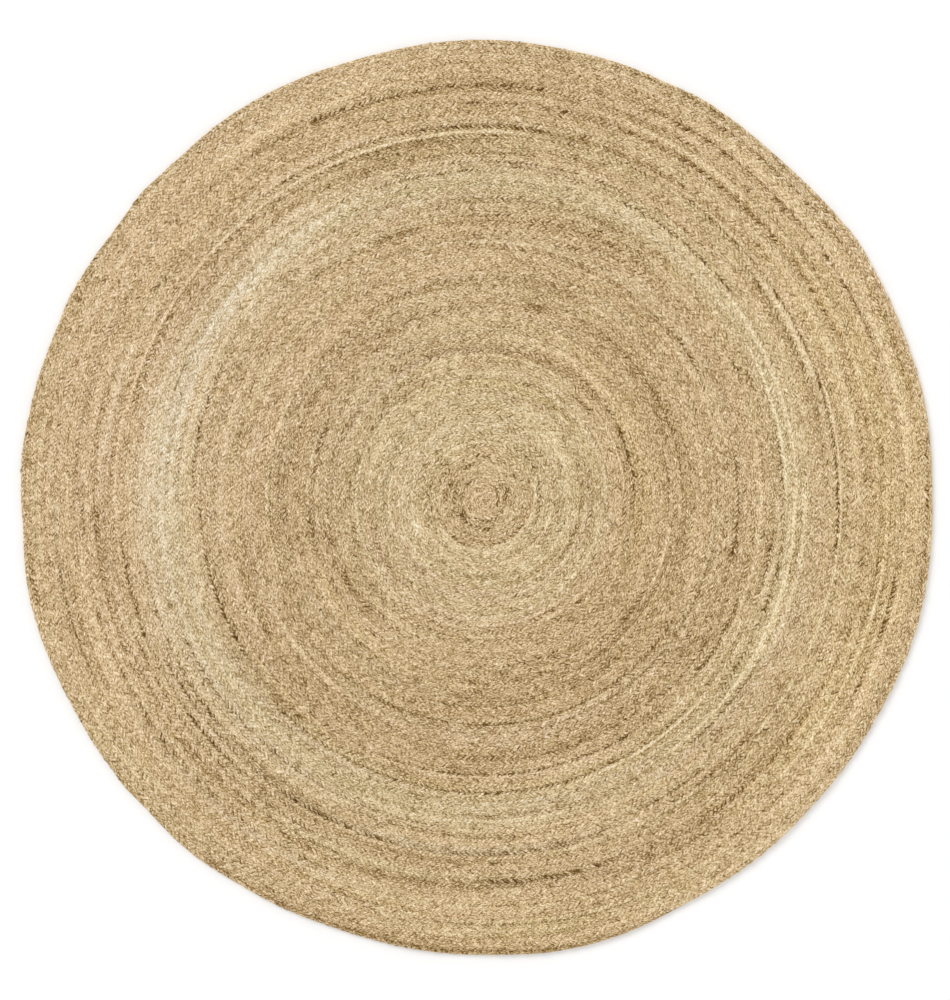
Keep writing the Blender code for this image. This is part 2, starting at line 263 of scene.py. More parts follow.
# Streaks of paler or darker jute along a part of a turn. The dark ones lie deeper, in loose sewing.
# A streak's turn counts on between two turns, so that 2.5 is along the middle line of turn 2.
streakTable = {
    # width in hundredths of a turn: turn, start, degrees along, tone in hundredths
    8: (
        (24.4, 122, 78, -22), (24.4, 200, 40, -10), (27.6, 120, 65, -10), (35.6, 270, 40, -10),
        (41.4, 180, 60, 22),
    ),
    10: (
        (3.3, 295, 65, 10), (7.8, 216, 6, -17), (7.3, 270, 90, 10), (8.8, 184, 3, -36), (9.6, 30, 150, 13),
        (9.75, 180, 60, 20), (9.2, 265, 80, 16), (9.1, 342, 6, -42), (10.6, 105, 60, 22),
        (10.85, 165, 40, 31), (11.5, 175, 40, -8), (11.15, 280, 80, 10), (13.55, 140, 60, 10),
        (13.5, 225, 30, 20), (13.1, 290, 55, 12), (14.45, 0, 60, 28), (14.7, 85, 175, 16),
        (14.3, 265, 35, 10), (15.2, 280, 50, 12), (15.4, 330, 30, 22), (16.65, 0, 112, 20),
        (21.45, 135, 45, 12), (21.4, 208, 67, 12), (21.3, 335, 15, 22), (22.15, 100, 25, -17),
        (23.55, 100, 80, -8), (23.55, 255, 55, -18), (24.85, 0, 40, 14), (24.75, 150, 50, 20),
        (24.85, 210, 45, 12), (25.85, 0, 25, 16), (25.05, 80, 42, -12), (26.95, 205, 40, 22),
        (26.9, 245, 85, 10), (26.45, 285, 60, -15), (29.15, 148, 27, -12), (31.15, 210, 52, -24),
        (31.4, 210, 30, 14), (31.4, 240, 58, 33), (31.5, 320, 40, 31), (32.6, 235, 55, 22),
        (33.45, 225, 65, 17), (33.25, 290, 28, 29), (33.5, 318, 42, 17), (34.4, 0, 50, 14),
        (34.8, 290, 40, -12), (36.45, 190, 40, 16), (36.6, 230, 70, 8), (37.9, 190, 42, -12),
        (37.4, 235, 55, 17), (38.95, 190, 40, -17), (38.4, 195, 45, 17), (39.9, 104, 3, -36),
        (40.45, 20, 22, 22), (40.45, 190, 45, 14), (40.35, 320, 40, 26), (41.35, 85, 80, 26),
        (41.5, 165, 15, 33), (41.0, 188, 48, -12), (41.85, 200, 50, -24), (42.8, 142, 6, -30),
        (42.45, 190, 70, 14), (42.95, 195, 55, -17), (43.8, 0, 20, -15), (43.4, 205, 40, -12),
        (44.25, 25, 69, -22), (44.25, 88, 6, -24), (44.75, 180, 25, -15), (44.45, 190, 50, 14),
        (44.95, 195, 55, -15), (44.8, 230, 18, -24), (45.5, 190, 42, 12),
    ),
    12: (
        (1.0, 10, 65, -10), (1.6, 15, 30, 16), (1.35, 125, 25, -12), (1.85, 235, 65, 28),
        (1.05, 330, 30, -22), (2.1, 130, 70, 12), (2.55, 130, 110, -22), (3.2, 90, 20, -17),
        (4.7, 35, 9, -36), (5.2, 85, 15, -17), (5.3, 140, 45, -17), (5.35, 188, 82, -24),
        (5.2, 300, 60, 12), (5.8, 315, 45, -17), (6.3, 0, 18, 39), (6.3, 85, 100, -22), (7.05, 75, 75, -18),
        (7.2, 150, 60, -12), (10.4, 0, 60, 12), (13.3, 65, 35, -12), (14.15, 240, 20, -30),
        (15.75, 300, 60, -17), (16.2, 38, 12, -26), (16.2, 120, 30, -15), (16.3, 200, 30, -18),
        (16.1, 240, 60, -10), (17.6, 285, 75, -8), (18.9, 0, 25, -17), (18.45, 225, 75, 14),
        (19.15, 115, 8, -26), (19.1, 265, 35, -17), (19.6, 290, 18, -12), (20.3, 285, 35, 14),
        (25.6, 240, 28, -26), (26.7, 165, 40, 14), (26.1, 235, 25, -12), (28.9, 40, 35, -10),
        (29.15, 30, 12, -38), (29.55, 275, 37, -24), (31.15, 35, 43, -22), (31.05, 262, 46, -33),
        (32.5, 0, 50, 24), (32.15, 85, 9, -38), (32.5, 118, 102, 14), (32.2, 212, 33, -22),
        (32.9, 292, 20, -22), (33.0, 25, 6, -33), (35.4, 30, 45, 17), (35.6, 325, 20, 28),
        (36.45, 0, 40, 39), (36.6, 40, 70, 14), (37.6, 0, 40, 12), (37.05, 90, 20, -26),
        (37.05, 110, 25, -12), (37.5, 110, 25, 12), (38.05, 50, 50, -17), (38.95, 82, 13, -24),
        (39.8, 170, 20, 16), (40.9, 40, 125, -18), (40.95, 185, 20, -22), (40.95, 215, 15, -33),
        (41.35, 0, 20, 33), (41.4, 20, 40, 10), (41.85, 55, 25, -17), (41.85, 125, 50, -12),
        (41.8, 325, 30, 16), (42.0, 97, 28, -26), (43.4, 178, 27, -26), (43.35, 300, 45, -26),
        (44.2, 45, 20, -30), (44.6, 335, 23, -24), (45.1, 0, 85, 14), (45.5, 270, 30, -15),
        (45.5, 340, 20, -12), (46.1, 60, 22, -15), (46.0, 98, 8, -36), (46.55, 298, 22, -15),
        (46.6, 330, 20, -33), (47.5, 188, 17, -22), (49.9, 50, 25, 14),
    ),
    14: (
        (25.45, 268, 32, -40), (32.1, 180, 15, -17), (36.55, 110, 50, 20), (36.5, 160, 30, 22),
        (42.75, 270, 18, -45), (44.65, 205, 25, -31),
    ),
    15: (
        (2.05, 0, 65, -26), (2.9, 0, 20, -36), (2.9, 205, 20, -24), (2.1, 238, 92, -26), (3.2, 15, 45, -24),
        (4.3, 112, 13, -24), (4.35, 190, 20, -24), (4.2, 240, 15, -24), (4.9, 275, 25, -24),
        (4.75, 295, 45, -26), (5.15, 5, 115, -17), (5.7, 112, 23, 22), (5.7, 183, 17, 22),
        (6.9, 0, 30, -22), (7.05, 30, 32, -24), (10.65, 320, 40, -10), (11.8, 0, 40, -10),
        (13.3, 185, 55, -12), (13.05, 240, 50, -12), (14.15, 60, 40, -12), (14.6, 293, 17, -26),
        (15.2, 100, 70, -12), (15.3, 188, 17, -24), (15.2, 240, 45, -17), (17.1, 0, 25, -12),
        (18.8, 150, 15, 12), (19.75, 163, 9, -22), (20.65, 40, 30, 14), (21.9, 0, 10, -30),
        (21.0, 122, 5, -30), (21.6, 229, 4, -30), (25.3, 55, 7, 22), (25.35, 300, 28, -30),
        (29.9, 0, 12, -30), (29.95, 310, 25, -24), (31.0, 320, 17, -24), (32.15, 55, 30, -17),
        (35.35, 0, 30, 33), (35.5, 160, 25, 22), (35.9, 310, 18, -42), (36.45, 330, 30, 24),
        (37.0, 40, 25, -38), (37.0, 200, 15, -24), (37.0, 215, 47, -15), (38.5, 0, 80, 12),
        (38.5, 120, 45, 17), (38.9, 298, 12, -24), (39.8, 20, 22, -28), (39.1, 210, 10, -30),
        (39.85, 215, 20, -24), (39.8, 255, 30, -26), (39.85, 295, 25, -28), (40.9, 0, 40, -36),
        (40.95, 95, 20, -10), (40.4, 105, 60, -10), (40.0, 207, 8, -36), (40.05, 350, 10, -42),
        (42.6, 288, 32, -12), (45.4, 165, 12, -15), (45.1, 318, 32, 22), (46.6, 15, 60, 14),
        (46.2, 82, 13, -28), (46.25, 95, 20, -36), (47.0, 248, 8, -17), (47.5, 262, 28, -15),
        (49.4, 35, 25, -24), (50.8, 140, 12, -24),
    ),
    16: (
        (32.15, 193, 19, -45), (33.0, 225, 37, -24), (41.85, 80, 17, -45),
    ),
    18: (
        (3.3, 115, 85, -24), (3.15, 212, 78, -26), (18.15, 30, 30, -17), (33.05, 262, 30, -31),
        (47.45, 20, 45, -26),
    ),
    20: (
        (4.3, 155, 30, -38), (5.7, 210, 90, 12), (10.9, 10, 70, 12), (16.8, 285, 75, -12),
        (18.1, 60, 90, -6), (18.1, 150, 55, -12), (18.2, 205, 20, -22), (20.0, 152, 13, -24),
        (20.9, 262, 36, -15), (20.9, 298, 34, -24), (28.9, 190, 50, -14), (28.9, 345, 15, -36),
        (29.2, 265, 12, -24), (30.3, 68, 4, -26), (32.2, 310, 25, 12), (32.9, 340, 15, -24),
        (33.0, 55, 20, -18), (33.05, 150, 26, -26), (34.9, 0, 15, -17), (34.0, 20, 6, -17),
        (35.2, 305, 55, 33), (37.9, 245, 37, -10), (39.85, 235, 20, -48), (42.4, 65, 15, -12),
        (42.9, 145, 35, 14), (44.6, 298, 7, -33), (47.7, 315, 20, 12), (48.5, 25, 35, 8),
        (49.3, 348, 12, -24), (50.3, 0, 8, -30), (50.5, 10, 40, -10), (50.6, 55, 17, -30),
        (50.3, 185, 10, -24),
    ),
    25: (
        (18.0, 0, 30, -26), (20.0, 183, 14, -30), (23.5, 0, 60, -9), (30.0, 152, 48, 10),
        (34.1, 320, 30, -17),
    ),
    30: (
        (2.5, 128, 14, -10), (2.5, 168, 14, -9), (2.7, 218, 14, -9), (2.2, 233, 14, 14), (2.3, 308, 14, 11),
        (3.3, 260, 17, 14), (8.2, 180, 35, 12), (21.8, 300, 45, -12), (22.9, 70, 8, -24),
        (23.1, 260, 100, -7), (31.5, 105, 8, -30), (34.0, 60, 40, -12), (40.2, 22, 18, 10),
        (40.7, 230, 130, -10), (42.4, 312, 16, -11), (43.3, 92, 40, -10), (43.3, 182, 16, -9),
        (43.8, 238, 30, -12), (43.2, 275, 15, 9), (44.6, 85, 95, 7), (44.2, 288, 18, -13),
        (46.4, 92, 28, 10), (46.15, 110, 25, -16), (48.3, 0, 25, 20), (48.6, 65, 35, -10),
        (48.6, 70, 22, 10), (48.9, 268, 17, -14), (50.2, 45, 17, -8), (50.5, 232, 53, -16),
    ),
    35: (
        (1.15, 50, 24, -14),
    ),
    40: (
        (1.8, 0, 10, -13), (1.0, 138, 18, 11), (1.3, 196, 14, -13), (1.8, 262, 20, -10),
        (1.4, 298, 14, -10), (1.6, 300, 25, 10), (2.9, 0, 6, -12), (2.0, 18, 17, -9), (2.9, 132, 16, 12),
        (2.4, 315, 20, 10), (3.0, 12, 16, 10), (3.2, 246, 18, 12), (3.0, 298, 14, -10), (4.2, 132, 36, -12),
        (4.1, 148, 14, -9), (4.6, 222, 16, -6), (4.5, 226, 18, 10), (4.6, 252, 26, -10),
        (4.2, 342, 10, -10), (5.0, 175, 23, 14), (5.2, 283, 27, 14), (5.0, 328, 14, 15), (6.8, 112, 20, 15),
        (6.0, 142, 16, 12), (7.3, 0, 90, 13), (7.2, 115, 17, 12), (7.2, 142, 18, 12), (7.5, 195, 53, 12),
        (8.5, 28, 18, -9), (8.3, 92, 36, -6), (8.7, 322, 38, 10), (9.0, 74, 16, 10), (9.5, 132, 20, 10),
        (10.1, 0, 12, 12), (10.4, 15, 30, 14), (10.6, 68, 77, -11), (10.8, 212, 20, -11),
        (10.5, 318, 42, -12), (11.5, 52, 20, 10), (11.5, 162, 20, -9), (12.0, 8, 20, -10),
        (12.7, 38, 54, -6), (13.2, 105, 85, 10), (13.6, 148, 20, 13), (13.5, 256, 16, 11),
        (13.0, 338, 18, 12), (14.7, 76, 14, 11), (14.3, 188, 14, -7), (14.0, 318, 18, -7),
        (15.2, 3, 15, -9), (15.8, 156, 14, 7), (15.8, 183, 17, 9), (15.5, 258, 24, 11), (16.0, 38, 14, -11),
        (17.8, 212, 28, -6), (17.1, 222, 30, 15), (18.8, 20, 70, 14), (18.0, 200, 38, 7),
        (20.7, 112, 16, 7), (21.8, 222, 14, -9), (22.2, 16, 20, -11), (22.6, 68, 18, -11),
        (22.3, 338, 18, -9), (23.3, 205, 25, -9), (24.4, 172, 12, -9), (24.5, 218, 24, 10),
        (25.9, 288, 18, 10), (26.5, 90, 16, 9), (27.5, 100, 16, -7), (27.5, 210, 32, -7),
        (28.3, 142, 18, 9), (28.5, 278, 24, 6), (28.7, 332, 20, -10), (30.0, 58, 32, -7),
        (30.5, 260, 14, -13), (31.6, 102, 20, 12), (31.2, 190, 20, -8), (32.0, 82, 28, 9),
        (32.5, 252, 12, -10), (32.0, 280, 20, 9), (33.0, 228, 14, 9), (33.1, 262, 30, 7),
        (34.5, 155, 40, -8), (34.7, 162, 20, -10), (34.0, 252, 20, -11), (34.6, 325, 35, 10),
        (35.3, 125, 40, 12), (35.0, 305, 47, -7), (36.9, 28, 14, -7), (36.2, 148, 16, -9),
        (36.2, 175, 15, 10), (36.2, 252, 33, 14), (37.2, 68, 14, -10), (38.3, 310, 12, 10),
        (39.4, 272, 20, -10), (40.6, 0, 35, 14), (40.0, 242, 16, 10), (42.5, 105, 30, 13),
        (42.7, 142, 16, 10), (42.6, 155, 25, 8), (43.3, 215, 60, -14), (43.1, 275, 55, -18),
        (43.8, 278, 22, -7), (43.5, 310, 22, 11), (43.0, 342, 18, -10), (44.3, 0, 130, -7),
        (44.3, 155, 27, 9), (44.2, 322, 20, 14), (45.0, 50, 22, 13), (45.6, 232, 20, 10),
        (46.7, 190, 16, -11), (47.7, 118, 12, 16), (49.3, 205, 17, 10), (50.9, 10, 30, 10),
        (50.0, 60, 40, -7), (50.9, 145, 15, 8), (51.0, 290, 58, 14),
    ),
    50: (
        (0.5, 325, 23, 19), (1.6, 36, 22, 14), (1.3, 108, 16, 12), (1.5, 125, 40, -14), (1.3, 142, 23, 12),
        (2.1, 6, 18, 16), (2.2, 286, 28, -14), (2.0, 338, 22, -14), (3.1, 200, 22, -10), (4.7, 145, 27, 10),
        (4.2, 236, 22, -13), (5.8, 312, 16, 15), (6.5, 94, 14, 11), (6.2, 212, 30, 18), (6.0, 242, 70, 14),
        (6.4, 335, 20, 13), (7.0, 8, 20, 7), (7.2, 12, 40, -11), (8.4, 8, 40, -7), (8.6, 258, 22, -12),
        (8.6, 262, 33, -9), (8.0, 300, 18, 10), (9.3, 105, 27, 12), (9.3, 160, 25, 11), (11.4, 82, 16, 10),
        (11.3, 265, 27, -6), (11.8, 295, 30, -6), (12.0, 50, 22, 10), (12.0, 60, 18, -8),
        (12.6, 165, 77, -7), (12.7, 282, 22, 7), (12.4, 345, 15, 6), (13.8, 42, 16, -9),
        (13.0, 245, 17, 10), (13.4, 270, 25, 12), (13.0, 305, 30, 10), (14.0, 105, 27, 15),
        (14.0, 158, 18, -10), (14.6, 250, 18, 7), (14.7, 262, 20, -9), (15.0, 110, 55, -9),
        (15.5, 162, 40, -13), (15.7, 342, 18, -9), (16.5, 0, 12, -9), (16.0, 76, 16, -9),
        (16.2, 332, 18, 9), (17.2, 42, 56, -10), (17.2, 272, 16, 9), (18.5, 200, 15, -8),
        (18.8, 300, 15, 9), (20.0, 2, 18, 7), (20.3, 38, 14, 8), (20.0, 285, 23, -6), (21.0, 40, 20, -9),
        (21.0, 85, 17, 7), (21.0, 200, 28, 9), (21.6, 328, 17, 10), (22.5, 110, 55, -6),
        (22.3, 258, 24, -9), (23.0, 168, 28, -11), (24.0, 85, 37, 9), (24.4, 92, 16, -10),
        (24.8, 108, 20, -9), (24.2, 200, 80, -7), (25.7, 60, 40, -9), (25.0, 62, 20, -9),
        (25.8, 125, 23, 11), (25.4, 208, 48, -15), (25.3, 330, 22, 12), (26.3, 158, 24, 6),
        (27.7, 42, 16, -6), (27.0, 178, 17, -9), (28.6, 14, 24, 12), (28.5, 142, 16, 11),
        (28.0, 160, 38, -7), (28.0, 170, 18, 10), (28.4, 198, 24, -12), (28.4, 210, 48, 8),
        (29.4, 155, 57, 9), (29.6, 212, 23, -8), (29.1, 284, 14, -10), (30.7, 290, 24, -11),
        (31.2, 105, 23, -10), (31.6, 148, 14, -9), (32.6, 18, 20, -10), (32.0, 42, 38, -13),
        (32.6, 212, 16, -10), (33.0, 0, 12, -10), (33.7, 78, 20, -9), (33.5, 262, 20, -9),
        (33.0, 280, 15, -8), (33.6, 300, 38, -12), (34.3, 0, 15, -10), (34.2, 14, 18, -10),
        (34.0, 50, 22, -9), (34.0, 345, 15, -10), (35.3, 190, 18, -9), (37.5, 118, 14, 12),
        (37.2, 308, 14, -11), (38.4, 180, 25, 10), (38.3, 250, 40, 14), (38.0, 252, 36, -10),
        (39.5, 0, 35, -7), (39.3, 225, 23, -7), (39.8, 308, 24, -11), (40.7, 190, 32, -10),
        (40.7, 272, 33, 8), (41.5, 40, 20, -6), (41.7, 60, 22, -13), (41.8, 162, 20, -8), (42.4, 52, 16, 9),
        (42.8, 176, 16, -9), (43.0, 0, 42, 14), (43.8, 128, 14, 9), (43.0, 252, 20, -10),
        (45.2, 185, 23, 10), (46.0, 82, 38, -9), (46.4, 165, 23, 7), (46.4, 252, 28, 7), (47.6, 58, 24, -9),
        (47.0, 88, 18, -11), (47.2, 98, 22, 7), (47.3, 315, 30, 10), (48.0, 32, 26, 11),
        (48.2, 138, 20, 10), (49.6, 10, 30, -14), (49.4, 235, 27, -10), (49.2, 320, 30, -10),
        # The pale streaks on the rim at turns 50.5 and 50.4 are partly painted light that offsets the shade
        # at the rim's outer edge, and partly a paler rim where the outline lies a little further in
        (50.5, 183, 30, 8), (50.4, 290, 60, 8),
    ),
    60: (
        (0.6, 335, 25, -14), (2.7, 12, 24, -17), (2.9, 174, 10, 8), (3.3, 34, 18, 16), (3.5, 266, 10, -10),
        (4.0, 276, 26, 10), (5.3, 32, 18, 18), (5.0, 96, 16, 8), (8.4, 75, 85, 8), (8.5, 190, 18, 15),
        (9.0, 18, 30, 12), (9.5, 255, 20, 10), (9.8, 325, 35, 13), (11.8, 116, 18, 12), (12.8, 0, 18, -14),
        (13.6, 76, 16, 8), (14.3, 112, 20, -11), (17.2, 130, 18, 9), (18.5, 160, 25, 7), (19.8, 30, 30, -8),
        (19.0, 125, 23, 7), (21.0, 293, 19, 10), (28.2, 222, 36, -20), (28.6, 258, 72, -10),
        (29.8, 88, 22, -9), (31.6, 80, 28, -16), (31.1, 320, 30, -12), (33.9, 150, 28, 14),
        (33.3, 175, 23, 10), (35.0, 205, 30, 10), (36.4, 10, 60, 10), (39.5, 60, 24, -7),
        (39.0, 95, 20, -16), (39.0, 115, 35, -7), (40.4, 0, 20, -6), (40.2, 36, 14, -9), (42.0, 0, 20, -8),
        (46.3, 195, 33, 12),
    ),
    70: (
        (8.0, 250, 60, 9), (10.0, 205, 30, 6), (19.5, 328, 24, 10), (21.4, 70, 22, 7), (25.0, 148, 20, 9),
        (36.0, 115, 45, 15), (39.0, 222, 26, -7), (40.3, 88, 22, -16),
    ),
    80: (
        (24.0, 0, 15, -7), (30.5, 15, 21, -10), (34.8, 158, 47, 14),
    ),
    90: (
        (12.3, 342, 18, -14), (23.3, 15, 43, -12), (41.2, 225, 75, -7),
    ),
    100: (
        (3.5, 60, 40, 10), (6.0, 72, 20, 11), (41.0, 298, 24, -7), (46.5, 220, 20, -9),
    ),
    120: (
        (20.5, 225, 20, 8),
    ),
}
streaks = tuple(
    (turn, width / 100, start, start + run, tone / 100)
    for width, group in streakTable.items()
    for turn, start, run, tone in group
)

streaking = {
    "fade": 2,                 # degrees over which a streak's ends fade
    "fadeByWidth": 16,         # and how many more for each turn of its width
    "narrow": 0.3,             # turns. A dark streak under this width is spotty and can lie in a seam.
    "darkSpots": 1.0,          # how spotty such a streak is
    "spots": 0.2,              # and any other
    "looseTone": -0.14,        # a narrow streak darker than this lies in loose sewing
    "nearSeam": 0.25,          # if it is this near to a seam
    "looseByTone": 2.0,        # how much looser for each step of tone
    "looseFrom": 0.15,         # and how much is taken off again
    "looseFade": 3,            # degrees over which the loose sewing ends
    "margin": 0.1,             # turns past a streak's ends from which lobes can still lean into it
}

# Broad stretches of paler or darker jute
toneZones = (
    # turn, turns around it, angle, degrees around it, tone
    (36.8, 2.6, 165, 45, 0.05),
    (37.7, 1.0, 172, 12, 0.12),
    (24.0, 5.0, 300, 60, -0.05),
    (31.5, 2.5, 245, 35, -0.05),
    (19.0, 5.0, 100, 60, 0.02),
    (24.0, 6.0, 0, 1000, -0.03),
    (0.0, 1.2, 0, 1000, 0.08),
)

# Broad stretches of another hue. Blush runs from olive to rosy and gold from ashen to golden.
hueZones = (
    # turn, turns around it, angle, degrees around it, blush, gold
    (36.3, 1.8, 185, 75, -0.14, -0.16),
    (35.4, 1.9, 0, 1000, -0.22, -0.02),
    (34.6, 2.2, 240, 55, -0.10, -0.02),
    (10.0, 4.8, 0, 1000, -0.20, -0.02),
    (0.0, 2.5, 0, 1000, 0.16, 0.04),
    (24.0, 9.0, 345, 90, 0.12, 0.04),
    (40.0, 12.0, 170, 60, 0.04, -0.20),
    (22.0, 9.0, 160, 90, 0.03, -0.08),
    (18.0, 1.5, 15, 50, -0.04, 0.22),
    (45.0, 4.0, 135, 45, 0.16, 0.06),
    (46.0, 4.0, 195, 20, 0.14, 0.06),
    (46.0, 6.0, 345, 50, 0.08, 0.28),
    (45.0, 3.0, 20, 20, 0.02, 0.20),
    (48.0, 3.0, 265, 30, 0.04, 0.16),
)


def inZone(turns, turn, turnSpread, angle, spread):
    # 1 in the middle of a zone, fading outward
    off = (turns * 360 - angle + 180) % 360 - 180
    return np.exp(-((turns - turn) / turnSpread) ** 2 - (off / spread) ** 2)


def looseness(turns):
    # How far apart the sewing has let two turns, at the seam inside a turn
    loose = np.zeros_like(turns)
    for turn, width, start, end, tone in streaks:
        seam = round(turn)
        if width >= streaking["narrow"] or tone >= streaking["looseTone"]:
            continue
        if abs(turn - seam) <= streaking["nearSeam"]:
            window = arcWindow(turns, seam, start, end, streaking["looseFade"])
            loose = np.maximum(loose, (-streaking["looseByTone"] * tone - streaking["looseFrom"]) * window)
    return loose


def layStreaks(turns, share, patches):
    # A dark streak is spotty, with lobes that show it more or less
    streak = np.zeros_like(turns)
    for turn, width, start, end, tone in streaks:
        base = math.floor(turn)
        fade = streaking["fade"] + streaking["fadeByWidth"] * width
        spotty = streaking["spots"]
        if tone < 0 and width < streaking["narrow"]:
            spotty = streaking["darkSpots"]
        for aside in (-1, 0, 1):         # the next turn inward, the turn itself and the next turn outward
            first = base + aside + start / 360 - streaking["margin"]
            last = base + aside + end / 360 + streaking["margin"]
            low, high = np.searchsorted(rowTurns, (first, last))
            window = arcWindow(turns[low:high], base + aside, start, end, fade)
            off = (share[low:high] + aside - (turn - base)) / width
            streak[low:high] += tone * window * (1 + spotty * (patches[low:high] - 1)) * np.exp(-off ** 2)
    return streak


def layBraid():
    # The top's points as rows of seven, the painted shade of each, from 0 on a crest to 1 in a gap, and
    # streaks
    rng = np.random.default_rng(seeds["lobes"])
    lobes = (2, lobeCount + 2)
    lift = rng.normal(0, plait["lobeLift"], lobes)
    reach = np.maximum(rng.normal(0, plait["lobeReach"], lobes), plait["leastReach"])
    slide = rng.normal(0, plait["lobeSlide"], lobes)
    groove = plait["grooveLeast"] + np.minimum(rng.gamma(*plait["grooveSpread"], lobes), plait["grooveMost"])
    slack = rng.uniform(0.0, plait["slack"], lobes)
    spots = rng.gamma(*plait["spotSpread"], lobes)
    swell = 1 + plait["swell"] * slowWave(along, plait["swellLength"], seeds["swell"])
    tilt = plait["tilt"] * slowWave(along, plait["tiltLength"], seeds["tilt"])
    inLength = np.clip(fromEnds / plait["evenEnd"], 0, 1)
    drift = plait["stretch"] * slowWave(along, plait["stretchLength"], seeds["stretch"]) * inLength
    lastRound = onLastRound(rowTurns)
    fewer, more = plait["closerTurns"]
    closer = plait["closerSeams"] * np.clip((rowTurns - fewer) / (more - fewer), 0, 1)
    ending = np.clip((rowTurns - lastTurn) * 360 / winding["taperAngle"] + 1, 0, 1)
    lowered = 1 - (1 - winding["endThicknessShare"]) * ending ** 2
    crest = lobeRows[:, 2:].max(axis=0)

    share = np.zeros((len(rows), topColumns))
    ahead = np.zeros((len(rows), topColumns))
    height = np.zeros((len(rows), topColumns))
    patches = np.zeros((len(rows), topColumns))
    # Painted shade added along the middle line and in the grooves
    shade = np.full((len(rows), topColumns), plait["middleShade"])
    for side in (0, 1):
        sign = 2 * side - 1
        phase = (rows + 2 * side) % rowsPerLobe
        lobe = (rows + 2 * side) // rowsPerLobe
        inGroove = phase == 0
        onLobe = 1.0 * ~inGroove
        raised = lift[side, lobe] * onLobe
        shown = spots[side, lobe] * (plait["spotLobe"] + plait["spotGroove"] * inGroove)
        loose = np.clip(looseness(rowTurns + side) * slack[side, lobe], 0, 1)
        onRim = lastRound * side
        shift = (lobeRows[phase, 0] + slide[side, lobe] * onLobe * inLength) * plait["lobePitch"]
        for k in range(4):
            column = k if side == 0 else topColumns - 1 - k
            high = lobeRows[phase, 2 + k]
            high = np.where(inGroove, crest[k] - (crest[k] - high) * groove[side, lobe], high)
            high = high + raised * (plait["edgeLift"] if k == 0 else 1.0)
            out = halfColumns[k]
            if k == 0:
                out = lobeRows[phase, 1] + reach[side, lobe] * onLobe
                out = out + (1.0 - out) * loose * plait["looseDraw"]
                out = out * (1 - (1 - plait["rimReach"]) * onRim)
                high = high + closer
            if k < 2:
                sink, sinkMore = plait["looseSink"][k]
                high = high * (1 - loose * (sink + sinkMore * inGroove)) * (1 - plait["rimSink"][k] * onRim)
            high = high * (swell + tilt * sign * halfColumns[k]) * lowered
            if k < 3:
                share[:, column] = 0.5 + sign * out / 2
                ahead[:, column] = shift
                height[:, column] = high
                patches[:, column] = shown
                shade[:, column] = plait["grooveShade"] * inGroove * groove[side, lobe]
            else:
                tip = 1.0 * (phase == 2)
                share[:, column] += 0.25 - sign * plait["zigzag"] / 2 * tip
                ahead[:, column] += shift / 2
                height[:, column] += high / 2
                patches[:, column] += shown / 2
    inFromEdge = 1 - np.abs(2 * share - 1)
    places = along[:, None] + drift[:, None] + ahead - leanRun[:, None] * inFromEdge
    turns = np.interp(places, lengthMarks, turnMarks)
    x, y = windPlace(turns, share)
    points = np.stack([x, y, height * plait["thickness"]], axis=-1)
    # Painted shade: the lower a point lies, the darker its colour, with more in grooves and along the middle
    # line
    depth = np.clip((plait["shadeHeight"] - height) / plait["shadeRange"], 0, 1)
    depth = np.clip(depth + shade, 0, 1)
    depth[:, -1] *= 1 - (1 - plait["rimShade"]) * lastRound
    return points, depth, layStreaks(turns, share, patches)


def layUnderside():
    # Every second row has three points, flat on the floor or in a shallow groove
    lowRows = rows[::2]
    share = 0.5 + np.array((1, 0, -1)) * plait["undersideReach"] / 2
    inFromEdge = 1 - np.abs(2 * share - 1)
    places = along[::2, None] - leanRun[::2, None] * inFromEdge
    turns = np.interp(places, lengthMarks, turnMarks)
    x, y = windPlace(turns, np.broadcast_to(share, turns.shape))
    grooved = np.stack([lowRows % 4 == 2, np.zeros(len(lowRows)), lowRows % 4 == 0], axis=-1)
    return np.stack([x, y, grooved * plait["undersideGroove"] * plait["thickness"]], axis=-1)


tones = {
    "middle": 0.50,
    "turns": 0.02,             # slow change that the three strands share
    "strands": 0.03,           # slow change of each strand
    "sides": 0.02,             # slow difference of a side's lobes
    "lobes": 0.055,            # change from lobe to lobe
    "inward": 0.012,           # how much paler the inner side is, and darker the outer
    "blush": 0.07,             # olive to rosy, about 0.5
    "gold": 0.10,              # ashen to golden, about 0.5
    "lobeHues": 0.6,           # share of the last two that changes from lobe to lobe
}

# The slow changes are sums of these waves along the braid
waves = {
    # share, metres between knots, seed
    "turns": ((0.7, 0.55, 61), (0.7, 1.9, 62)),
    "strands": ((0.8, 0.9, 31), (0.6, 0.16, 41)),      # the next seed for the next strand
    "sides": ((1.0, 0.3, 71),),                        # and for the other side
    "blush": ((1.0, 0.4, 51),),
    "gold": ((1.0, 0.4, 52),),
}


def slowChange(name, length, further=0):
    return sum(share * slowWave(length, spacing, seed + further) for share, spacing, seed in waves[name])


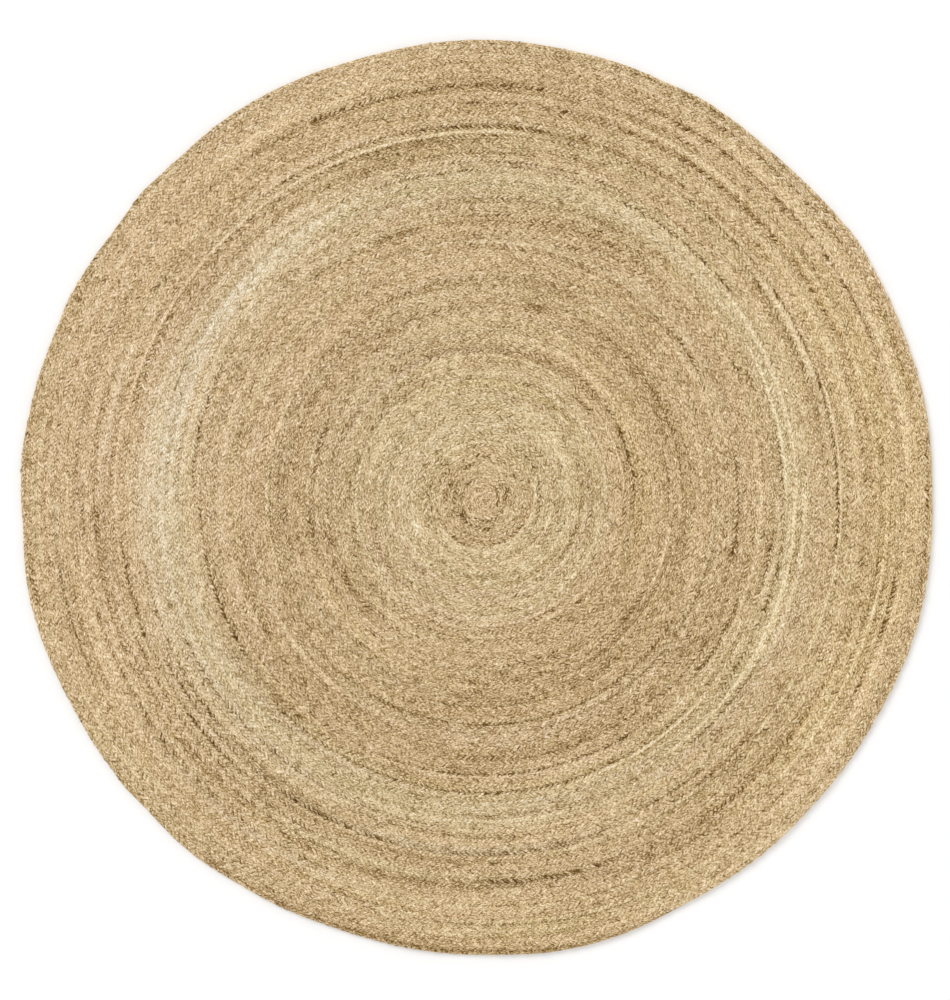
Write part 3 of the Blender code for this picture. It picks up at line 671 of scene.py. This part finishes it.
def dyeLobes():
    # Tone, blush and gold of every lobe on either side
    rng = np.random.default_rng(seeds["dye"])
    dyed = np.zeros((3, 2, lobeCount + 2))
    for side in (0, 1):
        lobe = np.arange(lobeCount + 2)
        length = np.maximum(lobe * rowsPerLobe + 2 - 2 * side, 0) * rowSpacing
        turns = np.interp(length, lengthMarks, turnMarks)
        strand = (2 * lobe - side) % 3
        own = np.zeros(len(lobe))
        for number in range(3):
            own = np.where(strand == number, slowChange("strands", length, number), own)
        tone = tones["middle"] + tones["turns"] * slowChange("turns", length) + tones["strands"] * own
        tone = tone + tones["sides"] * slowChange("sides", length, side)
        tone = tone + tones["lobes"] * rng.normal(0, 1, len(lobe)) + tones["inward"] * (1 - 2 * side)
        blush = slowChange("blush", length) + tones["lobeHues"] * rng.normal(0, 1, len(lobe))
        blush = 0.5 + tones["blush"] * blush
        gold = slowChange("gold", length) + tones["lobeHues"] * rng.normal(0, 1, len(lobe))
        gold = 0.5 + tones["gold"] * gold
        for turn, turnSpread, angle, spread, level in toneZones:
            tone = tone + level * inZone(turns, turn, turnSpread, angle, spread)
        for turn, turnSpread, angle, spread, rosier, warmer in hueZones:
            near = inZone(turns, turn, turnSpread, angle, spread)
            blush = blush + rosier * near
            gold = gold + warmer * near
        dyed[:, side] = tone, blush, gold
    return np.clip(dyed, 0, 1)


bakeMargin = 0.0015            # round each strip of texture, as a share of the picture's side


def fillMesh(pieceName, points, corners, sizes):
    # Corners lists the points of all faces in one row, and sizes how many each face has
    mesh = bpy.data.meshes.new(pieceName)
    mesh.vertices.add(len(points))
    mesh.vertices.foreach_set("co", points.astype(np.float32).ravel())
    mesh.loops.add(len(corners))
    mesh.loops.foreach_set("vertex_index", corners.astype(np.int32))
    mesh.polygons.add(len(sizes))
    mesh.polygons.foreach_set("loop_start", np.concatenate(([0], np.cumsum(sizes)[:-1])).astype(np.int32))
    mesh.update(calc_edges=True)
    return mesh


def buildLength(pieceName, first, last, material):
    # The closed mesh of the braid between two rows
    count = last - first + 1
    lowCount = (count + 1) // 2
    points = np.concatenate([
        topPoints[first:last + 1].reshape(-1, 3),
        lowPoints[first // 2:last // 2 + 1].reshape(-1, 3),
    ])
    low = np.zeros(lowCount * undersideColumns)
    paintedShades = np.concatenate([topPaintedShade[first:last + 1].ravel(), low])
    streak = np.concatenate([topStreaks[first:last + 1].ravel(), low])

    def pointAt(row, place):
        if place < topColumns:
            return row * topColumns + place
        if place == 10:
            return row * topColumns
        return count * topColumns + (row // 2) * undersideColumns + place - topColumns

    # The texture is laid in as many strips as give it one scale along and across the braid
    stripCount = max(1, round(math.sqrt((count * rowSpacing) / plait["roundLength"])))
    stripRows = math.ceil(count / stripCount / rowsPerLobe) * rowsPerLobe

    def texturePlaces(row, strip, places):
        x = bakeMargin + (row - strip * stripRows) / stripRows * (1 - 2 * bakeMargin)
        y = np.array([bakePlaces[place] for place in places]) * (1 / stripCount - 2 * bakeMargin)
        y = y + bakeMargin + strip / stripCount
        return np.stack(np.broadcast_arrays(x, y), axis=-1).reshape(-1, 2)

    corners = []
    sizes = []
    strandUv = []
    bakeUv = []
    dyes = []
    for faces, step in ((topFaces, 1), (lowFaces, 2)):
        base = np.arange(0, count - 1, step)
        for face in faces:
            places = [place for ahead, place in face]
            side = int(min(places) >= 3 and max(places) <= 8)    # 0 is the braid's inner side, 1 its outer
            lobe = (base + first + 2 * side) // rowsPerLobe
            rowOf = np.stack([base + ahead for ahead, place in face], axis=-1)
            cornerPoints = [pointAt(base + ahead, place) for ahead, place in face]
            corners.append(np.stack(cornerPoints, axis=-1).ravel())
            sizes.append(np.full(len(base), len(face)))
            alongStrand = np.array([strandPlaces[place] for place in places]) * plait["strandLength"]
            u = alongStrand[None, :] + lobeShifts[side, lobe, 0][:, None]
            v = (rowOf + first + 2 * side - lobe[:, None] * rowsPerLobe) / rowsPerLobe * plait["strandWidth"]
            v = v + lobeShifts[side, lobe, 1][:, None]
            strandUv.append(np.stack([u, v], axis=-1).reshape(-1, 2))
            bakeUv.append(texturePlaces(rowOf, (base // stripRows)[:, None], places))
            dyes.append(lobeDyes[:, side, lobe])
    # The two cut ends
    for row, order in ((0, (6, 5, 4, 3, 2, 1, 0, 9, 8, 7)), (count - 1, tuple(range(10)))):
        corners.append(np.array([pointAt(np.int64(row), place) for place in order]))
        sizes.append(np.array([len(order)]))
        strandUv.append(np.array([(strandPlaces[place] * plait["strandLength"], 0.0) for place in order]))
        bakeUv.append(texturePlaces(row, min(row // stripRows, stripCount - 1), order))
        dyes.append(lobeDyes[:, 0, (first + row) // rowsPerLobe, None])

    mesh = fillMesh(pieceName, points, np.concatenate(corners), np.concatenate(sizes))
    for name, values in zip(("tone", "blush", "gold"), np.concatenate(dyes, axis=1)):
        mesh.attributes.new(name, "FLOAT", "FACE").data.foreach_set("value", values)
    # Painted shade of each point, darkest in the gaps
    mesh.attributes.new("depth", "FLOAT", "POINT").data.foreach_set("value", paintedShades)
    mesh.attributes.new("streak", "FLOAT", "POINT").data.foreach_set("value", streak)
    mesh.uv_layers.new(name="strandMap").uv.foreach_set("vector", np.concatenate(strandUv).ravel())
    mesh.uv_layers.new(name="OFBake").uv.foreach_set("vector", np.concatenate(bakeUv).ravel())
    if mesh.validate():
        print(pieceName, "had faces that were mended")
    mesh.shade_smooth()
    mesh.set_sharp_from_angle(angle=math.radians(plait["sharpness"]))
    piece = bpy.data.objects.new(pieceName, mesh)
    bpy.context.scene.collection.objects.link(piece)
    mesh.materials.append(material)
    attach(piece, "root")
    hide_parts("rug")


class Wire:
    # A shader socket that can stand in sums, each of which adds a Math node
    def __init__(self, tree, socket=None):
        self.tree = tree
        self.socket = socket

    def node(self, kind, settings, inputs, output=0):
        made = self.tree.nodes.new(kind)
        for name, value in settings.items():
            if name == "stops":
                stops = made.color_ramp.elements
                while len(stops) < len(value):
                    stops.new(0.5)
                for stop, (position, colour) in zip(stops, value):
                    stop.position = position
                    stop.color = (*colour, 1)
            else:
                setattr(made, name, value)
        for name, value in inputs.items():
            if isinstance(value, Wire):
                self.tree.links.new(value.socket, made.inputs[name])
            else:
                made.inputs[name].default_value = value
        return Wire(self.tree, made.outputs[output])

    def sum(self, operation, first, second):
        return self.node("ShaderNodeMath", {"operation": operation}, {0: first, 1: second})

    def __add__(self, other):
        return self.sum("ADD", self, other)

    def __radd__(self, other):
        return self.sum("ADD", other, self)

    def __sub__(self, other):
        return self.sum("SUBTRACT", self, other)

    def __rsub__(self, other):
        return self.sum("SUBTRACT", other, self)

    def __mul__(self, other):
        return self.sum("MULTIPLY", self, other)

    def __rmul__(self, other):
        return self.sum("MULTIPLY", other, self)

    def __pow__(self, other):
        return self.sum("POWER", self, other)


jute = {
    "stops": (                         # from painted shade in the gaps and dark fibre to the palest fibre
        (0.00, (0.130, 0.064, 0.013)),
        (0.25, (0.364, 0.238, 0.092)),
        (0.50, (0.646, 0.480, 0.268)),
        (0.75, (0.850, 0.674, 0.438)),
        (1.00, (1.000, 0.888, 0.662)),
    ),
    "olive": (0.960, 1.031, 1.040),    # tints of the least rosy and the rosiest jute
    "rosy": (1.040, 0.969, 0.960),
    "ashen": (0.983, 0.981, 1.076),    # tints of the least golden and the most golden
    "golden": (1.017, 1.019, 0.924),
    "yarnTone": 0.81,                  # difference between the yarns of a strand
    "fibreTone": 0.47,                 # difference between fibres
    "gapShade": 0.47,                   # how much darker painted shade makes a gap
    "gapEdge": 2.5,                    # the more, the more sharply the painted shade darkens towards a gap's bottom
    "yarnPattern": (0.0026, 0.0028, 1.5),      # length along the strand, width and detail
    "fibrePattern": (0.0027, 0.0012, 2.0),
    "coarseness": 0.6,                 # of both patterns
    "patternShift": (3.0, 0.5),        # most that a lobe's own patch of them is moved along and across
    "bump": 0.00035,                   # height of a fibre ridge
    "ridges": (0.6, 0.4),              # shares of the yarns and the fibres in it
    "roughness": (0.72, 0.95),
    "specular": 0.12,
}


def juteMaterial():
    material = bpy.data.materials.new("undyedJute")
    material.use_nodes = True
    tree = material.node_tree
    shader = tree.nodes["Principled BSDF"]
    wire = Wire(tree)
    strand = wire.node("ShaderNodeUVMap", {"uv_map": "strandMap"}, {})

    def painted(name):
        return wire.node("ShaderNodeAttribute", {"attribute_name": name}, {}, "Fac")

    def tinted(colour, amount, least, most):
        tint = wire.node("ShaderNodeMix", {"data_type": "RGBA"},
                         {"Factor": amount, "A": (*least, 1), "B": (*most, 1)}, 2)
        return wire.node("ShaderNodeMix", {"data_type": "RGBA", "blend_type": "MULTIPLY"},
                         {"Factor": 1.0, "A": colour, "B": tint}, 2)

    def drawnOut(length, width, detail):
        # Noise drawn out along the strand
        scaled = wire.node("ShaderNodeVectorMath", {"operation": "MULTIPLY"},
                           {0: strand, 1: (1 / length, 1 / width, 0)})
        return wire.node("ShaderNodeTexNoise", {"noise_dimensions": "2D"},
                         {"Vector": scaled, "Scale": 1.0, "Detail": detail, "Roughness": jute["coarseness"]})

    yarns = drawnOut(*jute["yarnPattern"])
    fibres = drawnOut(*jute["fibrePattern"])
    # Painted shade darkens the gaps, grooves and middle line below the jute's own tone, streaks and fibres
    shade = painted("tone") + painted("streak") - jute["gapShade"] * painted("depth") ** jute["gapEdge"]
    shade = shade + jute["yarnTone"] * (yarns - 0.5) * 2 + jute["fibreTone"] * (fibres - 0.5) * 2
    colour = wire.node("ShaderNodeValToRGB", {"stops": jute["stops"]}, {"Fac": shade})
    colour = tinted(colour, painted("blush"), jute["olive"], jute["rosy"])
    colour = tinted(colour, painted("gold"), jute["ashen"], jute["golden"])
    low, high = jute["roughness"]
    roughness = low + (high - low) * fibres
    yarnShare, fibreShare = jute["ridges"]
    ridge = yarnShare * yarns + fibreShare * fibres
    normal = wire.node("ShaderNodeBump", {}, {"Strength": 1.0, "Distance": jute["bump"], "Height": ridge})
    tree.links.new(colour.socket, shader.inputs["Base Color"])
    tree.links.new(roughness.socket, shader.inputs["Roughness"])
    tree.links.new(normal.socket, shader.inputs["Normal"])
    shader.inputs["Specular IOR Level"].default_value = jute["specular"]
    return material


topPoints, topPaintedShade, topStreaks = layBraid()
lowPoints = layUnderside()
lobeDyes = dyeLobes()
rng = np.random.default_rng(seeds["pattern"])
lobeShifts = rng.uniform(0, 1, (2, lobeCount + 2, 2)) * jute["patternShift"]
undyedJute = juteMaterial()
ends = [0]
for turn in lengthEnds:
    ends.append(int(np.searchsorted(rowTurns, turn) / rowsPerLobe) * rowsPerLobe)
ends.append(totalRows)
for number in range(1, len(ends)):
    buildLength("braid_length_%02d" % number, ends[number - 1], ends[number], undyedJute)
print("braid laid in", len(ends) - 1, "lengths")


# Floor, light and camera
studio = {
    "floorSize": 8.0,
    "floorAlbedo": 0.97,
    "floorRoughness": 0.9,
    "floorDrop": 0.0004,       # below the rug's underside, so that the two aren't in one plane
    "skyStrength": 0.84,
    "keyStrength": 0.98,
    "keyAngle": 28,            # degrees across, so that its shadows are soft
    "keyFrom": (-0.75, 0.75, 1.0),
    "cameraHeight": 5.0,
    "cameraReach": 50,
    "sensorWidth": 36,         # millimetres
    "metresPerPixel": 0.00164,
    "pictureHeight": 1000,
    "middle": (477.5, 497.5),  # of the rug's outline, in the picture's pixels
    "pictureMiddle": (475.0, 500.0),
}

bpy.ops.mesh.primitive_plane_add(size=studio["floorSize"], location=(0, 0, -studio["floorDrop"]))
floor = bpy.context.object
floor.name = "floor"
floorMaterial = bpy.data.materials.new("paleFloor")
floorMaterial.use_nodes = True
floorShader = floorMaterial.node_tree.nodes["Principled BSDF"]
floorShader.inputs["Base Color"].default_value = (*[studio["floorAlbedo"]] * 3, 1)
floorShader.inputs["Roughness"].default_value = studio["floorRoughness"]
floor.data.materials.append(floorMaterial)

scale = studio["metresPerPixel"]
camera = bpy.data.objects.new("camera", bpy.data.cameras.new("camera"))
bpy.context.scene.collection.objects.link(camera)
camera.location = (
    (studio["pictureMiddle"][0] - studio["middle"][0]) * scale,
    (studio["middle"][1] - studio["pictureMiddle"][1]) * scale,
    studio["cameraHeight"],
)
camera.data.sensor_width = studio["sensorWidth"]
distance = studio["cameraHeight"] - plait["thickness"]
camera.data.lens = studio["sensorWidth"] * distance / (studio["pictureHeight"] * scale)
camera.data.clip_end = studio["cameraReach"]
bpy.context.scene.camera = camera

world = bpy.data.worlds.new("studio")
bpy.context.scene.world = world
world.use_nodes = True
world.node_tree.nodes["Background"].inputs["Color"].default_value = (1, 1, 1, 1)
world.node_tree.nodes["Background"].inputs["Strength"].default_value = studio["skyStrength"]
key = bpy.data.objects.new("key", bpy.data.lights.new("key", "SUN"))
bpy.context.scene.collection.objects.link(key)
key.data.energy = studio["keyStrength"]
key.data.angle = math.radians(studio["keyAngle"])
key.rotation_euler = Vector(studio["keyFrom"]).to_track_quat("Z", "Y").to_euler()
bpy.context.scene.view_settings.view_transform = "Standard"
print("studio set")
